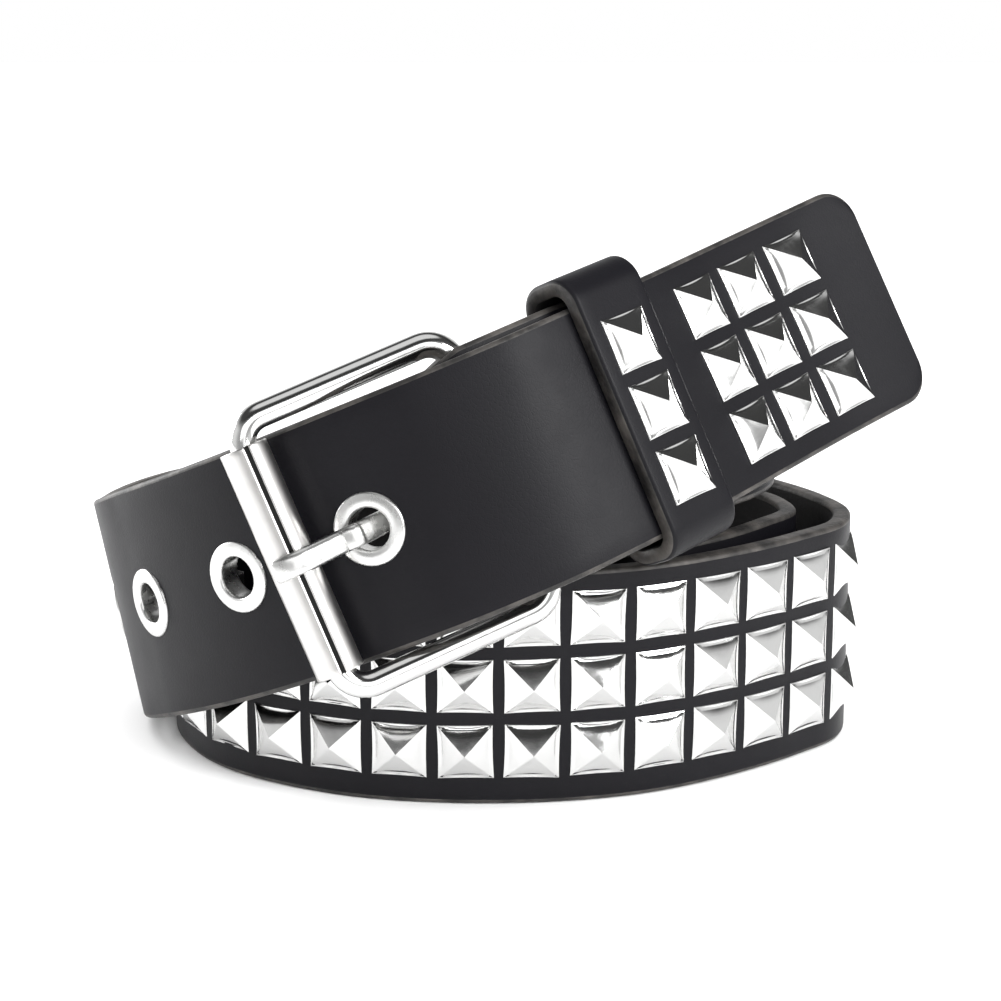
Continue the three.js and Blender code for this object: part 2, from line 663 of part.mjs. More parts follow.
// Buckle frame: round wire bent to a rectangle with round corners
function frameGeometry() {
  const halfAcross = (FRAME_WINDOW + WIRE) / 2;
  const bend = FRAME_CORNER - WIRE / 2;
  const corners = [[0, halfAcross], [-BAR_DISTANCE, halfAcross], [-BAR_DISTANCE, -halfAcross],
    [0, -halfAcross]];
  const steps = 4;
  const wireSides = 10;
  const rings = [];
  corners.forEach(([x, y], quarter) => {
    const centreX = x + (x === 0 ? -bend : bend);
    const centreY = y - Math.sign(y) * bend;
    for (let i = 0; i <= steps; i += 1) {
      const angle = (quarter + i / steps) * (Math.PI / 2);
      const side = new THREE.Vector3(Math.cos(angle), Math.sin(angle), 0);
      const ring = [];
      for (let k = 0; k < wireSides; k += 1) {
        const round = -(k / wireSides) * 2 * Math.PI;
        const point = new THREE.Vector3(centreX, centreY, (WIRE / 2) * Math.sin(round));
        point.addScaledVector(side, bend + (WIRE / 2) * Math.cos(round));
        ring.push(point);
      }
      rings.push(ring);
    }
  });
  return skin(rings, true);
}

addPiece('buckle_frame', frameGeometry(), NICKEL, buckleMatrix);

// Roller: a tube on the front bar
function rollerGeometry() {
  const bore = WIRE / 2 + CLEARANCE;
  const half = FRAME_WINDOW / 2 - ROLLER_END_ROOM;
  const outer = ROLLER_DIAMETER / 2;
  const profile = [[bore, -half], [outer, -half], [outer, half], [bore, half], [bore, -half]];
  return new THREE.LatheGeometry(profile.map(([r, h]) => new THREE.Vector2(r, h)), 20);
}

const rollerMatrix = buckleMatrix.clone();
rollerMatrix.multiply(new THREE.Matrix4().makeTranslation(-BAR_DISTANCE, 0, 0));
addPiece('roller', rollerGeometry(), SATIN, rollerMatrix);

// Prong: a ring round the heel bar, a shank under the strap, a bend through the first eyelet,
// and an end bent down over the roller
function prongRoute() {
  const toBuckle = buckleMatrix.clone().invert();
  const seat = seatMatrix(path, eyeletSeats[0], HALF_THICKNESS);
  const fromEyelet = (x, z) => new THREE.Vector3(x, 0, z).applyMatrix4(seat).applyMatrix4(toBuckle);
  const ring = WIRE / 2 + CLEARANCE + PRONG_THICKNESS / 2;
  const points = [];
  const ringSteps = 10;
  for (let i = 0; i <= ringSteps; i += 1) {
    const angle = Math.PI * (0.56 - 1.72 * (1 - i / ringSteps));
    points.push(new THREE.Vector2(ring * Math.cos(angle), ring * Math.sin(angle)));
  }
  const inHole = EYELET_HOLE / 2 - PRONG_THICKNESS / 2 - 2.5 * CLEARANCE;
  const over = PRONG_THICKNESS / 2 + CLEARANCE;
  const backFace = -STRAP_THICKNESS - CLEARANCE - EYELET_WALL;
  const frontFace = CLEARANCE + 1.4 * EYELET_WALL;
  const through = [
    [EYELET_HOLE / 2 + 5, backFace - over - 0.2],
    [EYELET_HOLE / 2 + 0.4, backFace - over],
    [inHole + over * 0.35, backFace - over * 0.6],
    [inHole, backFace + 0.2],
    [-inHole, frontFace - 0.2],
    [-inHole - over * 0.35, frontFace + over * 0.6],
    [-EYELET_HOLE / 2 - 0.4, frontFace + over],
  ];
  for (const [x, z] of through) {
    const point = fromEyelet(x, z);
    points.push(new THREE.Vector2(point.x, point.z));
  }
  const overRoller = ROLLER_DIAMETER / 2 + CLEARANCE + PRONG_THICKNESS / 2;
  const last = points[points.length - 1];
  const roller = new THREE.Vector2(-BAR_DISTANCE, 0);
  const reach = last.distanceTo(roller);
  const direction = Math.atan2(last.y - roller.y, last.x - roller.x);
  const touch = direction + Math.acos(overRoller / reach);
  const endTurn = PRONG_END / overRoller;
  const rollSteps = 6;
  for (let i = 0; i <= rollSteps; i += 1) {
    const angle = touch + (i / rollSteps) * endTurn;
    points.push(new THREE.Vector2(overRoller * Math.cos(angle) + roller.x, overRoller * Math.sin(angle)));
  }
  const hole = new THREE.Vector3().applyMatrix4(seat).applyMatrix4(toBuckle);
  return { points, swing: hole.y / hole.x, rollSteps };
}

function prongGeometry() {
  const { points, swing, rollSteps } = prongRoute();
  const flatFrom = points.length - 1 - rollSteps;
  const sides = 8;
  const rings = points.map((point, i) => {
    const before = points[Math.max(i - 1, 0)];
    const after = points[Math.min(i + 1, points.length - 1)];
    const along = after.clone().sub(before).normalize();
    const across = new THREE.Vector2(-along.y, along.x);
    const flat = i > flatFrom ? 1 + 0.1 * Math.sin((Math.PI * (i - flatFrom)) / rollSteps) : 1;
    const ring = [];
    for (let k = 0; k < sides; k += 1) {
      const angle = ((k + 0.5) / sides) * 2 * Math.PI;
      const wide = (PRONG_WIDTH / 2) * flat * Math.cos(angle) / Math.cos(Math.PI / sides);
      const thick = (PRONG_THICKNESS / 2) * Math.sin(angle) / Math.cos(Math.PI / sides);
      const inPlane = point.clone().addScaledVector(across, thick);
      ring.push(new THREE.Vector3(inPlane.x, wide + swing * inPlane.x, inPlane.y));
    }
    return ring;
  });
  return skin(rings);
}

addPiece('prong', prongGeometry(), NICKEL, buckleMatrix);

// The origin goes under the middle of the whole belt
const bounds = new THREE.Box3().setFromObject(belt, true);
const middle = bounds.getCenter(new THREE.Vector3());
belt.position.set(-middle.x, -middle.y, -bounds.min.z);

export default belt;
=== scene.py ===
"""Dresses the coiled studded belt: leather, pressed pyramid studs, eyelets and a roller buckle."""

import bisect
import math

import bpy
import numpy as np
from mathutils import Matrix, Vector


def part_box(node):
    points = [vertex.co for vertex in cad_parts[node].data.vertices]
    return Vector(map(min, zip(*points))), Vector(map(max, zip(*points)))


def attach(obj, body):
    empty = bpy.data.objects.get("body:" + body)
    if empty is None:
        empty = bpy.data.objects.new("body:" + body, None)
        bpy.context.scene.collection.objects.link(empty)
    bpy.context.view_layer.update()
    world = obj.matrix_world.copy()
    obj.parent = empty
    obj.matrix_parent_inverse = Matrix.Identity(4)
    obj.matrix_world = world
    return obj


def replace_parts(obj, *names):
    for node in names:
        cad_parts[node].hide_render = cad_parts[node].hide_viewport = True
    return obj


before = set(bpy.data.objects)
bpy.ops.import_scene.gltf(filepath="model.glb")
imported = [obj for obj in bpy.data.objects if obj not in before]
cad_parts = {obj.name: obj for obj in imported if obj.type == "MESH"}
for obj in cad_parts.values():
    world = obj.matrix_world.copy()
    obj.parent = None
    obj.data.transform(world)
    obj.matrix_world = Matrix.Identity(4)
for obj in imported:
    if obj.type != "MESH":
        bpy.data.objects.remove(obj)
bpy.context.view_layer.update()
MM = 0.001
draw = np.random.default_rng(7)

# The belt's sizes in millimetres
CLEARANCE = 0.3
STRAP_WIDTH = 38
STRAP_THICKNESS = 3
TIP_RADIUS = 5
COIL_WIDTH = 112
COIL_DEPTH = 85
NEST_GAP = 0.8
STUD_SIZE = 8.9
STUD_PITCH = 10.3
ROW_PITCH = 10.8
FIELD_RISE = 0.6
STUD_RISE = 2.9
STUD_ROWS = 3
TIP_TO_EYELET = 106.8
EYELET_PITCH = 25
EYELET_COUNT = 6
EYELET_HOLE = 6.5
EYELET_FLANGE = 11.5
EYELET_WALL = 0.45
PATCH_INSET = 11.9
PATCH_COLUMNS = 3
PATCH_PITCH = 11.2
EYELETS_TO_FIELD = 33.1
FIELD_TO_HEEL = 62
WIRE = 4.1
FRAME_ROOM = 1
FRAME_LENGTH = 39.2
FRAME_CORNER = 6.5
EYELET_TO_ROLLER = 12.1
ROLLER_DIAMETER = 7.5
ROLLER_END_ROOM = 1.5
ROLLER_GAP = 1.4
ROLLER_DROP = 0.7
STACK_GAP = 0.8
STRAP_SHIFT = 1.4
STRAP_DROP = 1.5
FOLD_TAPER = 1.4
TAIL_LENGTH = 9
SLOT_LENGTH = 17
PRONG_WIDTH = 3.7
PRONG_THICKNESS = 2.3
PRONG_END = 6
TIP_TO_KEEPER = 58.8
KEEPER_WIDTH = 14.3
KEEPER_WALL = 2.5
KEEPER_ROOM = 0.5
KEEPER_REACH = 1.1
BEHIND_FROM = 41.4
HALF_WIDTH = STRAP_WIDTH / 2
FRAME_WINDOW = STRAP_WIDTH + 2 * FRAME_ROOM
BAR_DISTANCE = FRAME_LENGTH - WIRE
TIP_TO_HEEL = TIP_TO_EYELET + EYELET_TO_ROLLER - BAR_DISTANCE
HALF_THICKNESS = STRAP_THICKNESS / 2
NEST_LAYER = STRAP_THICKNESS + STUD_RISE + NEST_GAP
EYELET_SEAT = EYELET_FLANGE + 0.8
KEEPER_SEAT = KEEPER_WIDTH + 1
KEEPER_CORNER = KEEPER_WALL + 2.3
STACK = STRAP_THICKNESS + STACK_GAP

# The strap's route from its tip: turn round the coil, reach, layers inside, lift and lean
ROUTE = [
    (-94.8, 1.132, 0, 1.474, 22),
    (-80.2, 0.895, 0, 1.36, 23.3),
    (-59.3, 0.789, 0, 1.275, 24.4),
    (-36, 0.826, 0, 1.198, 24),
    (-17.6, 0.963, 0, 1.123, 22),
    (-4, 1.098, 0, 1.01, 17.5),
    (8, 1.17, 0, 0.864, 11.5),
    (20.7, 1.177, 0, 0.694, 4),
    (34.7, 1.165, 0, 0.515, -1),
    (50, 1.138, 0, 0.346, -3.5),
    (66.9, 1.128, 0, 0.193, -6),
    (83.9, 1.148, 0, 0.065, -10.5),
    (101, 1.196, 0, 0, -13.5),
    (122, 1.186, 0, 0, -9.5),
    (148, 1.07, 0, 0, -2),
    (180, 1, 0, 0, 0),
    (215, 0.97, 0, 0, 0),
    (244, 0.965, 0, 0, 0),
    (260, 1.002, 0, 0, 0),
    (272, 1.04, 0, 0, 0),
    (284, 1.037, 0, 0, 0),
    (297, 0.982, 0, 0, 0),
    (315, 0.948, 0, 0, 0),
    (335, 0.962, 0, 0, 0),
    (360, 0.98, 0, 0, 0),
    (390, 1.01, 0, 0, 0),
    (420, 1.02, 0, 0, 0),
    (450, 1.01, 0, 0, 0),
    (480, 0.97, 0.15, 0, 0),
    (510, 0.97, 0.5, 0, 0),
    (540, 1, 1.05, 0, 0),
    (575, 0.97, 1.1, 0, 0),
    (604, 0.965, 1.15, 0, 0),
    (620, 1.002, 1.15, 0, 0),
    (634, 1.018, 1.15, 0, 0),
    (650, 0.982, 1.3, 0, 0),
    (672, 0.948, 1.2, 0, 0),
    (695, 0.962, 1.15, 0, 0),
    (720, 0.98, 1.15, 0, 0),
    (750, 1.01, 1.15, 0, 0),
    (780, 1.009, 1.15, 0, 0),
    (810, 0.993, 1.2, 0, 0),
    (840, 0.98, 1.6, 0.09, 2),
    (866, 0.99, 2.1, 0.26, 5),
    (895, 1, 2.25, 0.53, 9),
    (922, 1, 2.25, 0.78, 14),
    (947, 0.98, 2.25, 0.96, 18),
    (970, 0.95, 2.25, 1.06, 21),
]
TIP_ROWS = 16


# Route

class Path:
    """A smooth path through rows of x, y, z and lean, asked by its length from the first row."""

    def __init__(self, rows):
        self.rows = np.array(rows, dtype=float)
        steps = np.linalg.norm(np.diff(self.rows[:, :3], axis=0), axis=1)
        self.places = np.concatenate([[0], np.cumsum(steps)])
        self.slopes = self._slopes()
        fine = np.arange(0, self.places[-1], 1.0)
        points = np.array([self.at(place)[:3] for place in fine])
        self.lengths = np.concatenate([[0], np.cumsum(np.linalg.norm(np.diff(points, axis=0), axis=1))])

    def _slopes(self):
        gaps = np.diff(self.places)[:, None]
        rises = np.diff(self.rows, axis=0) / gaps
        share = gaps[:-1] / (gaps[:-1] + gaps[1:])
        mean = rises[:-1] * (1 - share) + rises[1:] * share
        same = rises[:-1] * rises[1:] > 0
        most = np.where(same, 3 * np.minimum(np.abs(rises[:-1]), np.abs(rises[1:])), 0)
        limited = np.sign(mean) * np.minimum(np.abs(mean), most)
        mean[:, 2:] = limited[:, 2:]
        return np.vstack([rises[:1], mean, rises[-1:]])

    def at(self, place):
        i = min(max(bisect.bisect_left(self.places, place) - 1, 0), len(self.rows) - 2)
        span = self.places[i + 1] - self.places[i]
        f = (place - self.places[i]) / span
        rise = f * f * (3 - 2 * f)
        leave = self.slopes[i] * span * f * (1 - f) * (1 - f)
        arrive = self.slopes[i + 1] * span * f * f * (1 - f)
        return self.rows[i] + (self.rows[i + 1] - self.rows[i]) * rise + leave - arrive

    @property
    def length(self):
        return self.lengths[-1]

    def section(self, length):
        """The strap's middle, width direction and outward direction at a length."""
        i = min(max(bisect.bisect_left(self.lengths, length) - 1, 0), len(self.lengths) - 2)
        place = i + (length - self.lengths[i]) / (self.lengths[i + 1] - self.lengths[i])
        along = unit(self.at(place + 1)[:3] - self.at(place - 1)[:3])
        here = self.at(place)
        upward = unit(np.array([0, 0, 1]) - along * along[2])
        outward = np.cross(upward, along)
        across = upward * math.cos(here[3]) - outward * math.sin(here[3])
        out = outward * math.cos(here[3]) + upward * math.sin(here[3])
        return Section(here[:3], across, out)


class Section:
    """A cross-section of the strap."""

    def __init__(self, middle, across, out):
        self.middle = middle
        self.across = across
        self.out = out

    def point(self, y, z):
        return self.middle + self.across * y + self.out * z

    def shifted(self, outward, across):
        return Section(self.point(across, outward), self.across, self.out)


def unit(vector):
    return vector / np.linalg.norm(vector)


def route_point(turn, reach, nest, lift, lean):
    angle = math.radians(turn)
    tilt = math.radians(lean)
    outline = np.array([-math.sin(angle) * COIL_WIDTH, -math.cos(angle) * COIL_DEPTH]) * reach / 2
    inward = unit(np.array([math.sin(angle) / COIL_WIDTH, math.cos(angle) / COIL_DEPTH]))
    layers = nest * NEST_LAYER + (HALF_THICKNESS if nest > 0 or lift == 0 else 0)
    x, y = outline + inward * layers
    edge = max(lift, 0) * STRAP_WIDTH
    rise = HALF_WIDTH * math.cos(tilt) + HALF_THICKNESS * abs(math.sin(tilt))
    return [x, y, edge + rise, tilt]


def behind_row(length, rise):
    """A row of the fixed strap where it lies behind the tip strap."""
    section = tip_path.section(length).shifted(-STACK, rise)
    return [*section.middle, math.asin(section.out[2])]


front_rows = [route_point(*row) for row in ROUTE]
tip_path = Path(front_rows[:TIP_ROWS])
keeper_end = TIP_TO_KEEPER + KEEPER_SEAT / 2
path = Path(front_rows + [
    behind_row(BEHIND_FROM, -STRAP_DROP),
    behind_row(TIP_TO_KEEPER - KEEPER_SEAT / 2, STRAP_SHIFT / 3),
    behind_row(keeper_end, STRAP_SHIFT),
])


class Place:
    """A flat place on the belt: x towards the tip, y across the strap, z outward."""

    def __init__(self, origin, x, y, z):
        self.origin = np.array(origin)
        self.axes = np.array([x, y, z])

    def world(self, points):
        return self.origin + np.asarray(points) @ self.axes

    def local(self, points):
        return (np.asarray(points) - self.origin) @ self.axes.T

    def moved(self, x=0.0, y=0.0, z=0.0):
        return Place(self.world([x, y, z]), *self.axes)


def seat(middle, span):
    """The flat seat of a stud, an eyelet or the keeper, on the strap's middle surface."""
    start = path.section(middle - span / 2)
    end = path.section(middle + span / 2)
    to_tip = unit(start.middle - end.middle)
    out = start.out + end.out
    out = unit(out - to_tip * out.dot(to_tip))
    return Place((start.middle + end.middle) / 2, to_tip, np.cross(out, to_tip), out)


# Buckle places: the heel bar behind the tip strap, the roller in front of it
heel_depth = HALF_THICKNESS + STACK_GAP + STRAP_THICKNESS + CLEARANCE + WIRE / 2
heel = tip_path.section(TIP_TO_HEEL).shifted(-heel_depth, STRAP_SHIFT / 2)
roller_height = HALF_THICKNESS + ROLLER_GAP + ROLLER_DIAMETER / 2


def roller_section(length):
    return tip_path.section(length).shifted(roller_height, STRAP_SHIFT / 2 - ROLLER_DROP)


def find_roller():
    """The roller's section, at the frame's own length from the heel bar, found by halving."""
    near = TIP_TO_HEEL
    far = TIP_TO_HEEL + 2 * BAR_DISTANCE
    for _ in range(40):
        middle = (near + far) / 2
        if np.linalg.norm(roller_section(middle).middle - heel.middle) < BAR_DISTANCE:
            near = middle
        else:
            far = middle
    return roller_section(near)


roller_place = find_roller()
buckle_along = unit(heel.middle - roller_place.middle)
buckle_across = heel.across + roller_place.across
buckle_across = unit(buckle_across - buckle_along * buckle_across.dot(buckle_along))
buckle = Place(heel.middle, buckle_along, buckle_across, np.cross(buckle_along, buckle_across))

field_start = TIP_TO_EYELET + (EYELET_COUNT - 1) * EYELET_PITCH + EYELETS_TO_FIELD
field_end = path.length + (TIP_TO_HEEL - keeper_end) - FIELD_TO_HEEL
field_columns = int((field_end - field_start) / STUD_PITCH)
eyelet_places = [
    seat(TIP_TO_EYELET + i * EYELET_PITCH, EYELET_SEAT).moved(z=HALF_THICKNESS)
    for i in range(EYELET_COUNT)
]


# Meshes

MATERIALS = {}


class Surface:
    """Collects points and faces in millimetres, with a material name for each face."""

    def __init__(self):
        self.points = []
        self.faces = []
        self.finishes = []
        self.smooth = []
        self.count = 0

    def add(self, points, faces, finish, smooth=True):
        points = np.asarray(points, dtype=float).reshape(-1, 3)
        self.points.append(points)
        self.faces += [[self.count + i for i in face] for face in faces]
        self.finishes += [finish] * len(faces)
        self.smooth += [smooth] * len(faces)
        self.count += len(points)

    def grid(self, rows, finish, loop_rows=False, loop_columns=False):
        """Smooth quads over rows of points, which face the other way when the rows are reversed.

        The finish is a name, or a list with one for each gap between columns.
        """
        rows = np.asarray(rows)
        height, width = rows.shape[:2]
        names = [finish] * width if isinstance(finish, str) else finish
        for k in range(width if loop_columns else width - 1):
            n = (k + 1) % width
            faces = []
            for i in range(height if loop_rows else height - 1):
                j = (i + 1) % height
                faces.append([i * width + k, i * width + n, j * width + n, j * width + k])
            self.faces += [[self.count + i for i in face] for face in faces]
            self.finishes += [names[k]] * len(faces)
            self.smooth += [True] * len(faces)
        self.points.append(rows.reshape(-1, 3))
        self.count += height * width

    def object(self, name, slot):
        mesh = bpy.data.meshes.new(name)
        world = (np.vstack(self.points) + shift) * MM
        mesh.from_pydata(world.tolist(), [], self.faces)
        names = list(dict.fromkeys(self.finishes))
        for finish in names:
            mesh.materials.append(MATERIALS[finish])
        order = {finish: i for i, finish in enumerate(names)}
        mesh.polygons.foreach_set("material_index", [order[finish] for finish in self.finishes])
        mesh.polygons.foreach_set("use_smooth", self.smooth)
        mesh.update()
        obj = bpy.data.objects.new(name, mesh)
        bpy.context.scene.collection.objects.link(obj)
        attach(obj, "root")
        return obj


def spin(profile, sides):
    """Rows of points round the z axis for a profile of radius and height."""
    rows = []
    for i in range(sides):
        angle = 2 * math.pi * i / sides
        rows.append([[r * math.cos(angle), r * math.sin(angle), h] for r, h in profile])
    return np.array(rows)


def arc(centre, radius, start, end, steps):
    """Points on an arc in a plane, between two angles in degrees."""
    angles = np.radians(np.linspace(start, end, steps + 1))
    return [(centre[0] + radius * math.cos(a), centre[1] + radius * math.sin(a)) for a in angles]


# Strap

EDGE_ROUND = 0.75  # radius of the strap's cut edges
EDGE_STEPS = 4  # in each quarter round of them
FLAT_POINTS = 15  # across each face
STEP = 1.5  # length between two rings of the strap
TIP_RINGS = 12  # round the corners of its tip
FOLD_STEPS = 16
PUNCH_ROOM = 0.5  # of a punched hole round an eyelet's barrel
PUNCH_SIDES = 32
SLOT_STEPS = 8  # round each end of the prong's slot


def half_width_at(length):
    short = max(TIP_RADIUS - length, 0)
    return HALF_WIDTH - TIP_RADIUS + math.sqrt(TIP_RADIUS ** 2 - short ** 2)


def strap_profile(half):
    """The closed outline of the strap's section: outer face, two round cut edges and inner face."""
    r = EDGE_ROUND
    t = HALF_THICKNESS
    n = EDGE_STEPS
    flat = np.linspace(-(half - r), half - r, FLAT_POINTS)
    outer = [(y, t) for y in flat]
    top = arc((half - r, t - r), r, 90, 0, n)[1:] + arc((half - r, r - t), r, 0, -90, n)
    inner = [(-y, -t) for y in flat[1:]]
    bottom = arc((r - half, r - t), r, 270, 180, n)[1:] + arc((r - half, t - r), r, 180, 90, n)[:-1]
    points = outer + top + inner + bottom
    finishes = ["leather"] * (len(outer) - 1) + ["cut_edge"] * len(top)
    finishes += ["flesh"] * len(inner) + ["cut_edge"] * (len(bottom) + 1)
    return points, finishes


def fold_sections():
    """The end of the fixed strap: to the heel bar, round it and back."""
    last = path.section(path.length)
    bend = WIRE / 2 + CLEARANCE + HALF_THICKNESS
    base = buckle.moved(y=STRAP_SHIFT / 2)
    along, across, out = buckle.axes
    start = Section(base.world([0, 0, bend]), across, out)
    sections = []
    for share in (0.25, 0.5, 0.75):
        sections.append((Section(
            last.middle + (start.middle - last.middle) * share,
            unit(last.across + (start.across - last.across) * share),
            unit(last.out + (start.out - last.out) * share),
        ), HALF_WIDTH))
    for i in range(FOLD_STEPS + 1):
        angle = math.pi * i / FOLD_STEPS
        normal = out * math.cos(angle) - along * math.sin(angle)
        middle = base.world([-math.sin(angle) * bend, 0, math.cos(angle) * bend])
        sections.append((Section(middle, across, normal), HALF_WIDTH - FOLD_TAPER * math.sin(angle)))
    for share in (0.4, 1):
        tail = Section(base.world([TAIL_LENGTH * share, 0, -bend]), across, -out)
        sections.append((tail, HALF_WIDTH))
    return sections


def strap_lengths():
    """Lengths from the tip at which the strap gets a ring: close together in its corners, then even."""
    corner = [TIP_RADIUS * (1 - math.cos(a)) for a in np.linspace(0.05, math.pi / 2, TIP_RINGS)]
    steps = int((path.length - TIP_RADIUS) / STEP)
    return corner + list(np.linspace(TIP_RADIUS, path.length, steps + 1)[1:])


def build_strap():
    rings = []
    sections = [(path.section(length), half_width_at(length)) for length in strap_lengths()]
    for section, half in sections + fold_sections():
        points, finishes = strap_profile(half)
        rings.append([section.point(y, z) for y, z in points])
    surface = Surface()
    surface.grid(rings, finishes, loop_columns=True)
    for ring in (rings[0][::-1], rings[-1]):
        surface.add(ring, [list(range(len(ring)))[::-1]], "cut_edge", smooth=False)
    return surface.object("strap_leather", "leather")


def cut_holes(strap):
    """Punches the eyelet holes and the prong's slot through the leather."""
    tools = Surface()
    radius = EYELET_HOLE / 2 + PUNCH_ROOM
    reach = 2 * STRAP_THICKNESS
    for place in eyelet_places:
        rows = place.world(spin([(radius, reach), (radius, -reach)], PUNCH_SIDES))
        tools.grid(rows, "cut_edge", loop_rows=True)
        tools.add(rows[:, 0], [list(range(PUNCH_SIDES))], "cut_edge")
        tools.add(rows[:, 1], [list(range(PUNCH_SIDES))[::-1]], "cut_edge")
    front = WIRE / 2 + CLEARANCE + STRAP_THICKNESS + STACK_GAP / 2
    half = (PRONG_WIDTH + 4 * CLEARANCE) / 2
    end = SLOT_LENGTH / 2 - half
    outline = arc((end, 0), half, -90, 90, SLOT_STEPS) + arc((-end, 0), half, 90, 270, SLOT_STEPS)
    rows = [buckle.world([[x, y, z] for z in (front, -2 * front)]) for x, y in outline]
    tools.grid(rows, "cut_edge", loop_rows=True)
    rows = np.array(rows)
    tools.add(rows[:, 0], [list(range(len(outline)))], "cut_edge")
    tools.add(rows[:, 1], [list(range(len(outline)))[::-1]], "cut_edge")
    cutter = tools.object("hole_punch", "leather")
    weld = cutter.modifiers.new("weld", "WELD")
    weld.merge_threshold = 1e-6
    modifier = strap.modifiers.new("holes", "BOOLEAN")
    modifier.object = cutter
    modifier.operation = "DIFFERENCE"
    modifier.solver = "EXACT"
    modifier.material_mode = "TRANSFER"
    bpy.context.view_layer.update()
    shown = strap.evaluated_get(bpy.context.evaluated_depsgraph_get())
    strap.modifiers.clear()
    strap.data = bpy.data.meshes.new_from_object(shown)
    bpy.data.objects.remove(cutter)


# Studs

FACET_ROWS = 7  # from a stud's tip to its edge
FACET_SIDES = 6  # from the middle of a facet to each ridge
LEDGE = 0.3  # width of the pressed edge round a stud
EDGE_HEIGHT = 0.42  # of a stud's corners
DIP = 0.2  # how far the middle of each side sinks below the corners
DIP_FROM = 0.7  # the share of a facet above that sinking
FACET_BOW = 0.025  # how far a side curves in, as a share of the half stud
RIDGE_POWER = 0.97  # of the slope along a ridge, where 1 is straight
FACE_POWER = 0.05  # less of it in the middle of a facet
STUD_TURN = 0.8  # degrees, the usual error of setting a stud by hand
STUD_TILT = 0.006  # usual slope of a stud on its seat
STUD_SINK = 0.05  # how deep a stud presses into the leather
RIM = ((0.3, 0.3), (0.85, 0.28), (1, 0.12), (1, -0.1))  # shares of the ledge, heights


def stud_facets():
    """One stud at the origin: four facets with their own points, a pressed edge and its foot."""
    facets = []
    for quarter in range(4):
        turn = quarter * math.pi / 2
        rows = []
        for i in range(FACET_ROWS + 1):
            rows.append([stud_point((i / FACET_ROWS) ** 0.8, k) for k in side_steps()])
        foot = [stud_point(1, k) for k in side_steps()]
        for share, height in RIM:
            grow = 1 + LEDGE * share / (STUD_SIZE / 2 - LEDGE)
            rows.append([(x * grow, y * grow, height) for x, y, _ in foot])
        c, s = math.cos(turn), math.sin(turn)
        facets.append(np.array(rows) @ np.array([[c, s, 0], [-s, c, 0], [0, 0, 1]]))
    return facets


def side_steps():
    """Places across a facet, from one ridge (-1) to the other (1), closer near the ridges."""
    return [math.sin(math.pi / 2 * k / FACET_SIDES) for k in range(-FACET_SIDES, FACET_SIDES + 1)]


def stud_point(m, side):
    """A facet's point: m from the tip (0) to the edge (1), side from ridge to ridge."""
    half = STUD_SIZE / 2 - LEDGE
    middle = 1 - side ** 2
    bow = FACET_BOW * middle * m
    sink = DIP * middle * (max(0.0, m - DIP_FROM) / (1 - DIP_FROM)) ** 2
    power = RIDGE_POWER - FACE_POWER * middle
    height = EDGE_HEIGHT + (STUD_RISE - EDGE_HEIGHT) * (1 - m) ** power - sink
    return (half * (m - bow), half * m * side, height)


STUD = stud_facets()


def add_stud(surface, place):
    spread = draw.normal(0, 1, 3)
    angle = math.radians(STUD_TURN) * spread[0]
    tilt = STUD_TILT * spread[1:]
    c, s = math.cos(angle), math.sin(angle)
    for rows in STUD:
        x, y, z = rows[..., 0], rows[..., 1], rows[..., 2]
        height = z + tilt[0] * x + tilt[1] * y - STUD_SINK
        turned = np.stack([x * c - y * s, x * s + y * c, height], axis=-1)
        surface.grid(place.world(turned)[::-1], "nickel")


def build_studs():
    field = Surface()
    for i in range(field_columns):
        column = seat(field_start + STUD_SIZE / 2 + i * STUD_PITCH, STUD_SIZE)
        for row in range(STUD_ROWS):
            y = (row - (STUD_ROWS - 1) / 2) * ROW_PITCH + FIELD_RISE
            add_stud(field, column.moved(y=y, z=HALF_THICKNESS))
    field.object("field_studs", "nickel")
    patch = Surface()
    names = []
    for row in range(STUD_ROWS):
        y = ((STUD_ROWS - 1) / 2 - row) * ROW_PITCH
        for column in range(PATCH_COLUMNS):
            place = seat(PATCH_INSET + STUD_SIZE / 2 + column * PATCH_PITCH, STUD_SIZE)
            add_stud(patch, place.moved(y=y, z=HALF_THICKNESS))
            names.append(f"tip_stud_{row + 1}_{column + 1}")
    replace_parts(patch.object("tip_studs", "nickel"), *names)
    on_keeper = Surface()
    names = []
    for row in range(STUD_ROWS):
        y = ((STUD_ROWS - 1) / 2 - row) * ROW_PITCH
        height = HALF_THICKNESS + KEEPER_ROOM + KEEPER_WALL
        add_stud(on_keeper, seat(TIP_TO_KEEPER, KEEPER_SEAT).moved(y=y, z=height))
        names.append(f"keeper_stud_{row + 1}")
    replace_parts(on_keeper.object("keeper_studs", "nickel"), *names)


# Eyelets

EYELET_SIDES = 40


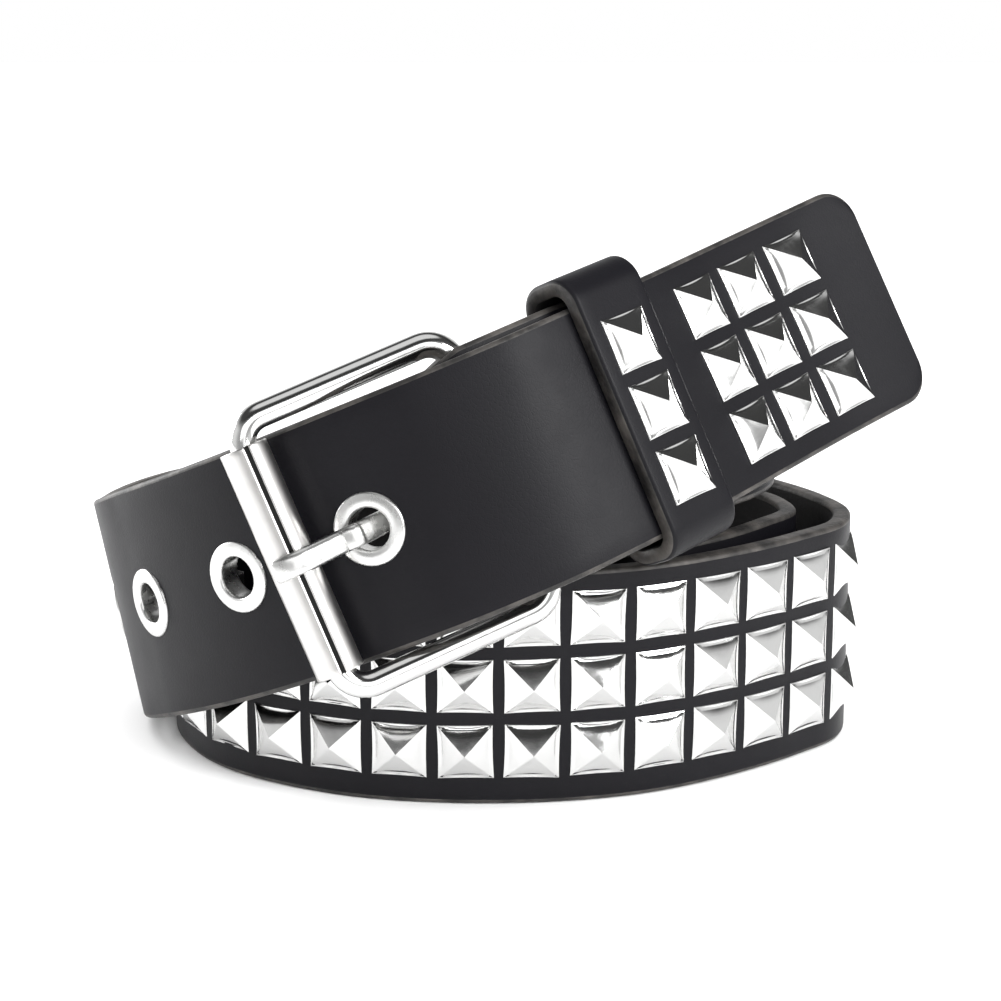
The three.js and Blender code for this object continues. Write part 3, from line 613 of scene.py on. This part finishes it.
def build_eyelets():
    """Each is one section turned round: flange, crown, barrel through the leather and spread back."""
    surface = Surface()
    hole = EYELET_HOLE / 2
    rim = EYELET_FLANGE / 2
    front = [(rim - 0.12, -0.35), (rim, 0.0)] + arc((rim - 0.42, 0.12), 0.42, 0, 80, 5)
    crown = [(rim - 1.0, 0.64), (rim - 1.5, 0.7), (hole + 0.75, 0.66)]
    barrel = arc((hole + 0.62, 0.02), 0.62, 95, 180, 6) + [(hole, -1.2), (hole, -2.6)]
    back = arc((hole + 0.5, -STRAP_THICKNESS - 0.1), 0.5, 180, 270, 5)
    skirt = [(rim - 1.2, -STRAP_THICKNESS - 0.55), (rim - 0.9, -STRAP_THICKNESS - 0.2)]
    for place in eyelet_places:
        rows = place.world(spin(front + crown + barrel + back + skirt, EYELET_SIDES))
        surface.grid(rows[::-1], "eyelet", loop_rows=True)
    names = [f"eyelet_{i + 1}" for i in range(EYELET_COUNT)]
    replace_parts(surface.object("eyelets", "satin_nickel"), *names)


# Keeper

KEEPER_ROUND = 0.7  # radius of the edges of its outer face
KEEPER_STEPS = 10


def rounded_loop(half, front, back, corner, steps):
    """A closed outline with four round corners, in y and z, from the front's upper corner."""
    points = []
    corners = ((half, front, 90), (half, back, 0), (-half, back, -90), (-half, front, -180))
    for y, z, start in corners:
        centre = (y - math.copysign(corner, y), z - corner if z == front else z + corner)
        points += arc(centre, corner, start, start - 90, steps)
    return points


def build_keeper():
    half = HALF_WIDTH + STRAP_SHIFT / 2 + KEEPER_REACH
    front = KEEPER_ROOM
    back = -(STRAP_THICKNESS + STACK + KEEPER_ROOM)
    place = seat(TIP_TO_KEEPER, KEEPER_SEAT).moved(y=STRAP_SHIFT / 2, z=HALF_THICKNESS)
    side = KEEPER_WIDTH / 2
    soft = KEEPER_ROUND
    profile = [(side, 0.0), (side, KEEPER_WALL - soft)]
    profile += arc((side - soft, KEEPER_WALL - soft), soft, 0, 90, 4)[1:]
    flat = list(np.linspace(side - soft, soft - side, 9)[1:-1])
    profile += [(x, KEEPER_WALL) for x in flat]
    profile += arc((soft - side, KEEPER_WALL - soft), soft, 90, 180, 4)
    profile += [(-side, 0.0)]
    profile += [(x, 0.0) for x in flat[::-1]]
    finishes = ["cut_edge"] * 2 + ["leather"] * (len(profile) - len(flat) - 5) + ["cut_edge"] * 2
    finishes += ["flesh"] * (len(profile) - len(finishes))
    rings = []
    for x, depth in profile:
        corner = KEEPER_CORNER - KEEPER_WALL + depth
        loop = rounded_loop(half + depth, front + depth, back - depth, corner, KEEPER_STEPS)
        rings.append([(x, y, z) for y, z in loop])
    rows = np.array(rings).transpose(1, 0, 2)
    surface = Surface()
    surface.grid(place.world(rows)[::-1], finishes, loop_rows=True, loop_columns=True)
    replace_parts(surface.object("keeper_leather", "leather"), "keeper")


# Buckle

CORNER_STEPS = 12
WIRE_SIDES = 28
ROLLER_SIDES = 64
ROLLER_LIP = 0.25  # radius of the roller's end edges
SEAM_FLOOR = 0.1  # metal left over the bore in the seam of the rolled tube


def build_frame():
    bend = FRAME_CORNER - WIRE / 2
    half = (FRAME_WINDOW + WIRE) / 2
    rows = []
    corners = ((0, half), (-BAR_DISTANCE, half), (-BAR_DISTANCE, -half), (0, -half))
    for quarter, (x, y) in enumerate(corners):
        centre = (x - bend if x == 0 else x + bend, y - math.copysign(bend, y))
        for i in range(CORNER_STEPS + 1):
            angle = math.radians(90 * (quarter + i / CORNER_STEPS))
            ring = []
            for k in range(WIRE_SIDES):
                around = 2 * math.pi * k / WIRE_SIDES
                reach = bend + WIRE / 2 * math.cos(around)
                height = WIRE / 2 * math.sin(around)
                ring.append((
                    centre[0] + math.cos(angle) * reach,
                    centre[1] + math.sin(angle) * reach,
                    height,
                ))
            rows.append(ring)
    surface = Surface()
    surface.grid(buckle.world(rows)[::-1], "nickel", loop_rows=True, loop_columns=True)
    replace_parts(surface.object("frame_wire", "nickel"), "buckle_frame")


def build_roller():
    bore = WIRE / 2 + CLEARANCE
    outer = ROLLER_DIAMETER / 2
    half = FRAME_WINDOW / 2 - ROLLER_END_ROOM
    lip = ROLLER_LIP
    profile = [(bore, -half), (outer - lip, -half)] + arc((outer - lip, lip - half), lip, -90, 0, 3)
    profile += [(outer, y) for y in np.linspace(-half + 1, half - 1, 9)]
    profile += arc((outer - lip, half - lip), lip, 0, 90, 3) + [(bore, half), (bore, -half)]
    rows = spin(profile, ROLLER_SIDES)
    radius = np.linalg.norm(rows[0, :, :2], axis=-1, keepdims=True)
    rows[0, :, :2] *= np.minimum(1, (bore + SEAM_FLOOR) / radius)
    rows = np.stack([rows[..., 1], rows[..., 2], rows[..., 0]], axis=-1)
    rows = rows.transpose(1, 0, 2)
    # The two faces of the seam's groove get a near-black metal: painted shade inside the rolled tube's
    # seam.
    finishes = ["roller_seam"] + ["roller_satin"] * (rows.shape[1] - 2) + ["roller_seam"]
    surface = Surface()
    surface.grid(buckle.moved(x=-BAR_DISTANCE).world(rows), finishes, loop_columns=True)
    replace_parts(surface.object("roller_tube", "satin_nickel"), "roller")


RING_START = -1.16  # of the prong's ring round the heel bar, in half turns
RING_END = 0.56
RING_POINTS = 19
BAR_STEPS = 8  # of the prong's straight run from the hole to the roller
BEND_STEPS = 10  # of its bend over the roller
PRONG_SIDES = 24
WIDE_POWER = 0.55  # below 1, which squares off the prong's section across
THICK_POWER = 0.7  # the same through its thickness
POINT_SHARE = 0.03  # of the prong's length that is rounded to its end
POINT_LEAST = 0.35  # of the prong's thickness at its end
POINT_WIDTH = 0.55  # of its width there, at no thickness


def prong_route():
    """The prong's middle line in the buckle's x and z, and how far it swings aside per millimetre."""
    eyelet = eyelet_places[0]
    ring = WIRE / 2 + CLEARANCE + PRONG_THICKNESS / 2
    points = []
    for turn in np.linspace(RING_START, RING_END, RING_POINTS):
        angle = math.pi * turn
        points.append((ring * math.cos(angle), ring * math.sin(angle)))
    in_hole = EYELET_HOLE / 2 - PRONG_THICKNESS / 2 - 2.5 * CLEARANCE
    over = PRONG_THICKNESS / 2 + CLEARANCE
    back = -STRAP_THICKNESS - CLEARANCE - EYELET_WALL
    front = CLEARANCE + 1.4 * EYELET_WALL
    through = (
        (EYELET_HOLE / 2 + 5, back - over - 0.2), (EYELET_HOLE / 2 + 0.4, back - over),
        (in_hole + over * 0.35, back - over * 0.6), (in_hole, back + 0.2), (-in_hole, front - 0.2),
        (-in_hole - over * 0.35, front + over * 0.6), (-EYELET_HOLE / 2 - 0.4, front + over),
    )
    for x, z in through:
        local = buckle.local(eyelet.world([x, 0, z]))
        points.append((local[0], local[2]))
    reach = ROLLER_DIAMETER / 2 + CLEARANCE + PRONG_THICKNESS / 2
    dx, dz = points[-1][0] + BAR_DISTANCE, points[-1][1]
    touch = math.atan2(dz, dx) + math.acos(reach / math.hypot(dx, dz))
    lift_off = points[-1]
    landing = (reach * math.cos(touch) - BAR_DISTANCE, reach * math.sin(touch))
    for i in range(1, BAR_STEPS):
        share = i / BAR_STEPS
        points.append((lift_off[0] + (landing[0] - lift_off[0]) * share,
                       lift_off[1] + (landing[1] - lift_off[1]) * share))
    for i in range(BEND_STEPS + 1):
        angle = touch + i / BEND_STEPS * PRONG_END / reach
        points.append((reach * math.cos(angle) - BAR_DISTANCE, reach * math.sin(angle)))
    hole = buckle.local(eyelet.origin)
    return np.array(points), hole[1] / hole[0]


def squared(share, power):
    """A share of -1 to 1 raised to a power with its sign kept, which squares off a round."""
    return math.copysign(abs(share) ** power, share)


def build_prong():
    points, swing = prong_route()
    fine = smooth_line(points, 4)
    rings = []
    for i, point in enumerate(fine):
        along = unit(fine[min(i + 1, len(fine) - 1)] - fine[max(i - 1, 0)])
        normal = np.array([-along[1], along[0]])
        from_end = (len(fine) - 1 - i) / len(fine)
        end = math.sqrt(1 - max(0.0, 1 - from_end / POINT_SHARE) ** 2)
        end = max(end, POINT_LEAST)
        breadth = POINT_WIDTH + (1 - POINT_WIDTH) * end
        ring = []
        for k in range(PRONG_SIDES):
            angle = 2 * math.pi * k / PRONG_SIDES
            wide = PRONG_WIDTH / 2 * breadth * squared(math.cos(angle), WIDE_POWER)
            thick = PRONG_THICKNESS / 2 * end * squared(math.sin(angle), THICK_POWER)
            x, z = point + normal * thick
            ring.append((x, wide + swing * x, z))
        rings.append(ring)
    surface = Surface()
    surface.grid(buckle.world(rings), "eyelet", loop_columns=True)
    face = list(range(PRONG_SIDES))
    surface.add(buckle.world(rings[0]), [face], "eyelet", smooth=False)
    surface.add(buckle.world(rings[-1]), [face[::-1]], "eyelet", smooth=False)
    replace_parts(surface.object("prong_wire", "nickel"), "prong")


def smooth_line(points, steps):
    """Adds points between those of a line in a plane, on a Catmull-Rom curve."""
    ends = np.vstack([2 * points[0] - points[1], points, 2 * points[-1] - points[-2]])
    fine = []
    for i in range(1, len(ends) - 2):
        a, b, c, d = ends[i - 1:i + 3]
        for k in range(steps):
            f = k / steps
            fine.append(0.5 * (2 * b + (c - a) * f + (2 * a - 5 * b + 4 * c - d) * f ** 2
                               + (3 * b - a - 3 * c + d) * f ** 3))
    fine.append(points[-1])
    return np.array(fine)


# Finishes

class Value:
    """A node socket that takes part in Python expressions."""

    def __init__(self, tree, socket):
        self.tree = tree
        self.socket = socket

    def _math(self, operation, *others):
        return self.tree.node("ShaderNodeMath", {"operation": operation}, *others)

    def __add__(self, other):
        return self._math("ADD", self, other)

    __radd__ = __add__

    def __mul__(self, other):
        return self._math("MULTIPLY", self, other)

    __rmul__ = __mul__


class Finish:
    """A material with one Principled shader, whose constants are set by name."""

    def __init__(self, name, **constants):
        self.material = bpy.data.materials.new(name)
        self.material.use_nodes = True
        self.nodes = self.material.node_tree.nodes
        self.links = self.material.node_tree.links
        self.shader = self.nodes["Principled BSDF"]
        for socket, value in constants.items():
            self.shader.inputs[socket.replace("_", " ")].default_value = value
        MATERIALS[name] = self.material

    def node(self, kind, settings=None, *inputs, output=0, **named):
        """Adds a node: its settings first, then its inputs in order or by name."""
        node = self.nodes.new(kind)
        for key, value in (settings or {}).items():
            if key == "stops":
                self._stops(node.color_ramp, value)
            else:
                setattr(node, key, value)
        for key, value in list(enumerate(inputs)) + [(k.replace("_", " "), v) for k, v in named.items()]:
            self.set(node.inputs[key], value)
        return Value(self, node.outputs[output])

    def _stops(self, ramp, stops):
        while len(ramp.elements) < len(stops):
            ramp.elements.new(1)
        for element, (place, grey) in zip(ramp.elements, stops):
            element.position = place
            element.color = (grey, grey, grey, 1)

    def set(self, socket, value):
        if isinstance(value, Value):
            self.links.new(value.socket, socket)
        else:
            socket.default_value = value

    def feed(self, **sockets):
        for name, value in sockets.items():
            self.set(self.shader.inputs[name.replace("_", " ")], value)

    def place(self):
        """The point in metres, in the belt's own frame."""
        return self.node("ShaderNodeTexCoord", output="Object")

    def noise(self, point, scale, detail, roughness=0.5):
        return self.node("ShaderNodeTexNoise", output="Fac", Vector=point, Scale=scale,
                         Detail=detail, Roughness=roughness)

    def cells(self, point, scale, feature="F1"):
        return self.node("ShaderNodeTexVoronoi", {"feature": feature}, output="Distance",
                         Vector=point, Scale=scale)

    def ramp(self, value, *stops):
        return self.node("ShaderNodeValToRGB", {"stops": stops}, value, output="Color")

    def mix(self, share, a, b):
        node = self.nodes.new("ShaderNodeMix")
        node.data_type = "RGBA"
        self.set(node.inputs[0], share)
        self.set(node.inputs[6], a)
        self.set(node.inputs[7], b)
        return Value(self, node.outputs[2])

    def bump(self, height, distance, strength):
        return self.node("ShaderNodeBump", output="Normal", Height=height, Distance=distance,
                         Strength=strength)


def make_leather():
    leather = Finish("leather", Specular_IOR_Level=0.17)
    point = leather.place()
    pores = leather.cells(point, 2300)
    creases = leather.cells(point, 1300, "DISTANCE_TO_EDGE")
    grain = leather.noise(point, 2600, 3)
    cloud = leather.noise(point, 45, 3)
    wear = leather.ramp(leather.noise(point, 160, 4, 0.6), (0.35, 0.0), (0.75, 1.0))
    height = leather.ramp(pores, (0.0, 0.0), (0.35, 1.0)) * 0.5 + grain * 0.35
    height += leather.ramp(creases, (0.0, 0.0), (0.12, 1.0)) * 0.4
    leather.feed(
        Base_Color=leather.mix(cloud, (0.0034, 0.0032, 0.0046, 1), (0.0056, 0.0053, 0.0074, 1)),
        Roughness=0.40 + cloud * 0.08 + wear * 0.05,
        Normal=leather.bump(height, 0.000025, 0.7),
    )


def make_flesh():
    flesh = Finish("flesh", Specular_IOR_Level=0.3)
    point = flesh.place()
    fibre = flesh.noise(point, 900, 5, 0.7)
    flesh.feed(
        Base_Color=flesh.mix(fibre, (0.007, 0.007, 0.0075, 1), (0.02, 0.019, 0.019, 1)),
        Roughness=0.62 + fibre * 0.2,
        Normal=flesh.bump(fibre, 0.0002, 0.6),
    )


def make_cut_edge():
    edge = Finish("cut_edge", Specular_IOR_Level=0.4)
    point = edge.place()
    fibre = edge.noise(point, 700, 5, 0.7)
    lumps = edge.noise(point, 180, 3, 0.6)
    worn = edge.ramp(lumps, (0.4, 0.0), (0.7, 1.0))
    edge.feed(
        Base_Color=edge.mix(worn, (0.014, 0.013, 0.0125, 1), (0.075, 0.068, 0.062, 1)),
        Roughness=0.38 + fibre * 0.25,
        Normal=edge.bump(fibre * 0.5 + lumps * 0.8, 0.0004, 0.7),
    )


def make_metal(name, colour, rough):
    metal = Finish(name, Metallic=1.0, Base_Color=colour)
    point = metal.place()
    waves = metal.noise(point, 220, 2)
    smears = metal.noise(point, 900, 3)
    metal.feed(
        Roughness=rough + smears * 0.08,
        Normal=metal.bump(waves, 0.00012, 0.35),
    )


make_leather()
make_flesh()
make_cut_edge()
make_metal("nickel", (0.66, 0.66, 0.655, 1), 0.07)
make_metal("eyelet", (0.64, 0.64, 0.632, 1), 0.24)
# Near-black metal for the walls of the roller's seam: painted shade in that groove.
make_metal("roller_seam", (0.03, 0.03, 0.03, 1), 0.5)
make_metal("roller_satin", (0.62, 0.612, 0.60, 1), 0.26)


# Assembly

def place_on_floor():
    """The CAD's origin is under the middle of its box, the route's is the coil's middle."""
    bar = np.array(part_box("buckle_frame"))
    middle = buckle.world([-BAR_DISTANCE / 2, 0, 0])
    return bar.mean(axis=0) / MM - middle


shift = place_on_floor()
strap = build_strap()
cut_holes(strap)
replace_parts(strap, "strap")
build_studs()
build_eyelets()
build_keeper()
build_frame()
build_roller()
build_prong()


# Studio

def make_floor():
    reach = 6.0
    back = 1.3
    mesh = bpy.data.meshes.new("floor")
    corners = [(-reach, -reach, 0), (reach, -reach, 0), (reach, back, 0), (-reach, back, 0)]
    mesh.from_pydata(corners, [], [[0, 1, 2, 3]])
    white = Finish("paper", Roughness=0.9, Base_Color=(0.9, 0.9, 0.9, 1), Specular_IOR_Level=0.1)
    mesh.materials.append(white.material)
    obj = bpy.data.objects.new("floor", mesh)
    bpy.context.scene.collection.objects.link(obj)


AIM = Vector((0, 0, 0.045))  # where every lamp points, in metres


def add_light(name, place, size, watts, glossy=True):
    light = bpy.data.lights.new(name, "AREA")
    light.shape = "RECTANGLE"
    light.size, light.size_y = size
    light.energy = watts
    obj = bpy.data.objects.new(name, light)
    obj.location = place
    obj.rotation_euler = (AIM - Vector(place)).to_track_quat("-Z", "Y").to_euler()
    obj.visible_glossy = glossy
    obj.visible_camera = False
    bpy.context.scene.collection.objects.link(obj)


def make_world():
    """A bright wall and a lamp overhead, dim in front, dark between them and at the back right."""
    world = bpy.data.worlds.new("studio")
    world.use_nodes = True
    nodes, links = world.node_tree.nodes, world.node_tree.links
    direction = nodes.new("ShaderNodeTexCoord")
    parts = nodes.new("ShaderNodeSeparateXYZ")
    links.new(direction.outputs["Generated"], parts.inputs[0])

    def fade(axis, start, end, near, far):
        step = nodes.new("ShaderNodeMapRange")
        step.interpolation_type = "SMOOTHSTEP"
        for place, value in enumerate((start, end, near, far), 1):
            step.inputs[place].default_value = value
        links.new(parts.outputs[axis], step.inputs[0])
        return step.outputs[0]

    def maths(operation, a, b):
        node = nodes.new("ShaderNodeMath")
        node.operation = operation
        for socket, value in zip(node.inputs, (a, b)):
            if isinstance(value, float):
                socket.default_value = value
            else:
                links.new(value, socket)
        return node.outputs[0]

    upward = maths("ADD", fade("Z", 0.45, 0.72, 1.0, 0.07), fade("Z", 0.88, 0.95, 0.0, 0.9))
    wall = maths("MULTIPLY", upward, fade("Y", -0.9, -0.35, 0.45, 1.0))
    flag = maths("MULTIPLY", fade("X", 0.45, 0.7, 0.0, 0.9), fade("Y", 0.1, 0.35, 0.0, 1.0))
    light = maths("MULTIPLY", wall, maths("SUBTRACT", 1.0, flag))
    links.new(light, nodes["Background"].inputs["Color"])
    nodes["Background"].inputs["Strength"].default_value = 1.0
    bpy.context.scene.world = world


# The camera fitted to the photograph, in the route's millimetres and degrees
FOCAL_PIXELS = 2600
IMAGE_PIXELS = 1001
SENSOR = 36
PITCH = 75.5
EYE = np.array([-0.8, -427.3, 149.3])


def add_camera():
    data = bpy.data.cameras.new("photo")
    data.sensor_width = SENSOR
    data.lens = FOCAL_PIXELS * SENSOR / IMAGE_PIXELS
    data.clip_start = 0.01
    obj = bpy.data.objects.new("photo", data)
    obj.location = (EYE + shift) * MM
    obj.rotation_euler = (math.radians(PITCH), 0, 0)
    bpy.context.scene.collection.objects.link(obj)
    bpy.context.scene.camera = obj


make_floor()
make_world()
add_light("key", (0.66, -0.55, 0.5), (0.4, 0.4), 8)
add_light("left", (-0.8, 0.42, 0.25), (0.6, 0.4), 6.5)
add_light("front", (0.1, -1.05, 0.6), (1.0, 0.35), 1.9)
add_light("window", (0.36, -1.3, 0.3), (0.45, 0.35), 0.85)
add_light("ceiling", (0, 0.15, 1.6), (3.0, 3.0), 60, glossy=False)
add_camera()
bpy.context.scene.view_settings.view_transform = "Standard"
